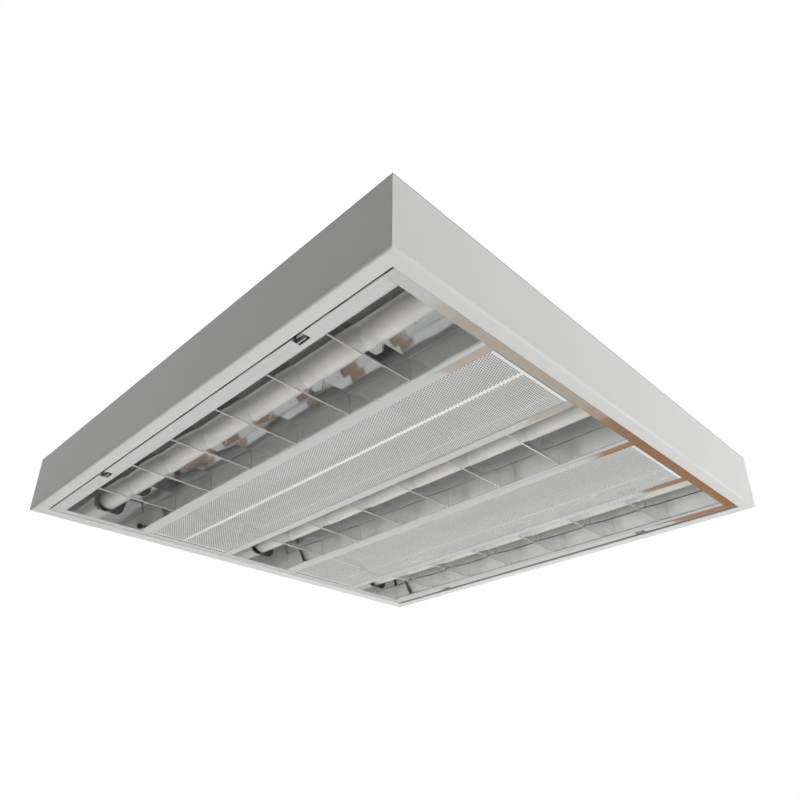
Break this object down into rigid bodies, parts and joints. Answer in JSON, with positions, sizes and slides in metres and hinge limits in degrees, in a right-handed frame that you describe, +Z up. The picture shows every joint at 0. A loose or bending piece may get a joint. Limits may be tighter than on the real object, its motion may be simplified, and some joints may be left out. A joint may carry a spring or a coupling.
{
  "type": "louvre ceiling light",
  "caption": "Square surface-mounted ceiling light: painted box, straight lamps, bright cross-blade louvre and perforated panels on a drop-down hinge.",
  "frame": {"origin": "middle of the flat ceiling face of the back plate", "axes": "+Z up into the ceiling, X along the lamps, Y across them; the finger catches are at -Y and the louvre hinge at +Y"},
  "size_m": [0.62, 0.62, 0.068],
  "materials": {
    "painted_casing": "white powder coat, satin, very fine orange peel",
    "painted_inside": "white stove enamel, satin",
    "zinc_steel": "zinc-plated steel",
    "bright_aluminium": "bright anodised, mirror-like",
    "edge_aluminium": "semi-bright anodised, faintly brushed",
    "perforated_sheet": "light grey painted sheet with fine round holes",
    "catch_steel": "spring steel, dull",
    "lamp_glass": "phosphor-coated glass tube, white, glossy",
    "lamp_cap": "drawn aluminium cap, satin",
    "contact_brass": "plain brass",
    "rotor_plastic": "white moulded plastic",
    "holder_plastic": "white moulded plastic",
    "gear_case": "light grey coated steel case",
    "terminal_plastic": "off-white moulded plastic",
    "grommet_rubber": "black rubber, matte"
  },
  "bodies": {
    "housing": {"back_plate": "painted_inside", "wall_front": "painted_casing", "wall_right": "painted_casing", "wall_rear": "painted_casing", "wall_left": "painted_casing", "corner_brackets": "zinc_steel", "back_screws": "zinc_steel", "cable_grommet": "grommet_rubber", "holder_rail_left": "painted_inside", "holder_rail_right": "painted_inside", "roof_reflector_front": "bright_aluminium", "lampholder_front_left": "holder_plastic", "lampholder_front_right": "holder_plastic", "roof_reflector_middle": "bright_aluminium", "lampholder_middle_left": "holder_plastic", "lampholder_middle_right": "holder_plastic", "roof_reflector_rear": "bright_aluminium", "lampholder_rear_left": "holder_plastic", "lampholder_rear_right": "holder_plastic", "hinge_brackets": "zinc_steel", "ballast_twin": "gear_case", "ballast_single": "gear_case", "ballast_studs": "zinc_steel", "ballast_nuts": "zinc_steel", "terminal_block": "terminal_plastic", "terminal_screws": "contact_brass", "earth_stud": "zinc_steel", "earth_nut": "zinc_steel"},
    "louvre": {"end_plate_left": "edge_aluminium", "end_plate_right": "edge_aluminium", "blades_front": "bright_aluminium", "blades_middle": "bright_aluminium", "blades_rear": "bright_aluminium", "side_reflector_front_outer": "bright_aluminium", "side_reflector_front_inner": "bright_aluminium", "side_reflector_middle_front": "bright_aluminium", "side_reflector_middle_rear": "bright_aluminium", "side_reflector_rear_inner": "bright_aluminium", "side_reflector_rear_outer": "bright_aluminium", "perforated_panel_front": "perforated_sheet", "perforated_panel_rear": "perforated_sheet", "hinge_pins": "zinc_steel", "catch_ears": "catch_steel", "catch_pins": "catch_steel"},
    "catch_left": {"catch_left_lever": "catch_steel"},
    "catch_right": {"catch_right_lever": "catch_steel"},
    "lamp_front": {"lamp_front_tube": "lamp_glass", "lamp_front_caps": "lamp_cap", "lamp_front_pins": "contact_brass", "lamp_front_rotors": "rotor_plastic"},
    "lamp_middle": {"lamp_middle_tube": "lamp_glass", "lamp_middle_caps": "lamp_cap", "lamp_middle_pins": "contact_brass", "lamp_middle_rotors": "rotor_plastic"},
    "lamp_rear": {"lamp_rear_tube": "lamp_glass", "lamp_rear_caps": "lamp_cap", "lamp_rear_pins": "contact_brass", "lamp_rear_rotors": "rotor_plastic"}
  },
  "joints": [
    {"name": "louvre_swing", "type": "hinge", "parent": "housing", "child": "louvre", "pos_m": [0, 0.2895, -0.0639], "axis": [1, 0, 0], "range_deg": [0, 90]},
    {"name": "catch_left_press", "type": "hinge", "parent": "louvre", "child": "catch_left", "pos_m": [-0.157, -0.287, -0.06], "axis": [-1, 0, 0], "range_deg": [0, 20], "stiffness_Nm_per_rad": 0.05},
    {"name": "catch_right_press", "type": "hinge", "parent": "louvre", "child": "catch_right", "pos_m": [0.184, -0.287, -0.06], "axis": [-1, 0, 0], "range_deg": [0, 20], "stiffness_Nm_per_rad": 0.05},
    {"name": "lamp_front_turn", "type": "hinge", "parent": "housing", "child": "lamp_front", "pos_m": [0, -0.2295, -0.036], "axis": [1, 0, 0], "range_deg": [0, 90]},
    {"name": "lamp_middle_turn", "type": "hinge", "parent": "housing", "child": "lamp_middle", "pos_m": [0, 0, -0.036], "axis": [1, 0, 0], "range_deg": [0, 90]},
    {"name": "lamp_rear_turn", "type": "hinge", "parent": "housing", "child": "lamp_rear", "pos_m": [0, 0.2295, -0.036], "axis": [1, 0, 0], "range_deg": [0, 90]}
  ]
}
